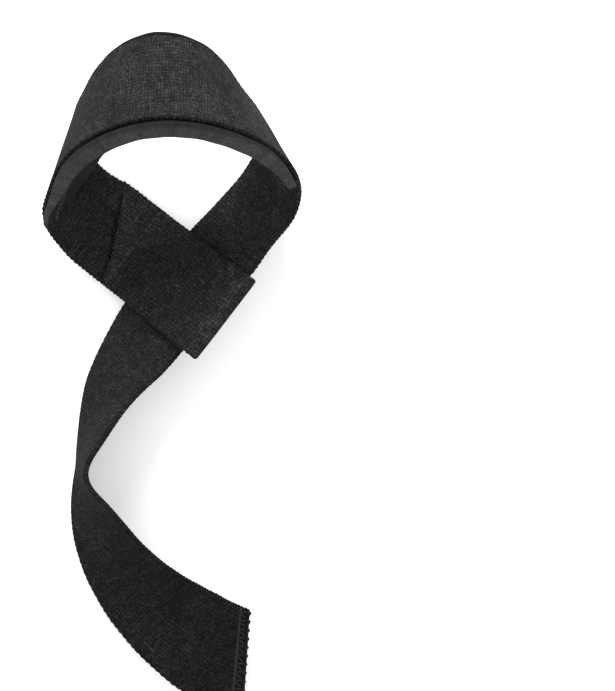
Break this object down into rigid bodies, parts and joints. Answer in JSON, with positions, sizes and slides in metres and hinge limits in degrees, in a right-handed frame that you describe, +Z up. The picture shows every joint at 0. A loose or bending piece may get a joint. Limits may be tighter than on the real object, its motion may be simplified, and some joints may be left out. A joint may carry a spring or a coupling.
{
  "type": "weightlifting strap",
  "caption": "Lasso-style lifting strap of ribbed cotton webbing with a sewn end loop, a foam-lined wrist loop and a free tail.",
  "frame": {"origin": "centre of the bounding box on the surface that the strap lies on", "axes": "+Y along the strap's length from the tail towards the wrist loop, +Z up from the surface"},
  "size_m": [0.1002, 0.2568, 0.0849],
  "materials": {
    "webbing": "ribbed cotton webbing, black, matt",
    "pad": "foam lining faced with knitted cloth, dark grey, matt"
  },
  "bodies": {
    "root": {"strap_webbing": "webbing", "wrist_pad": "pad"}
  },
  "joints": []
}
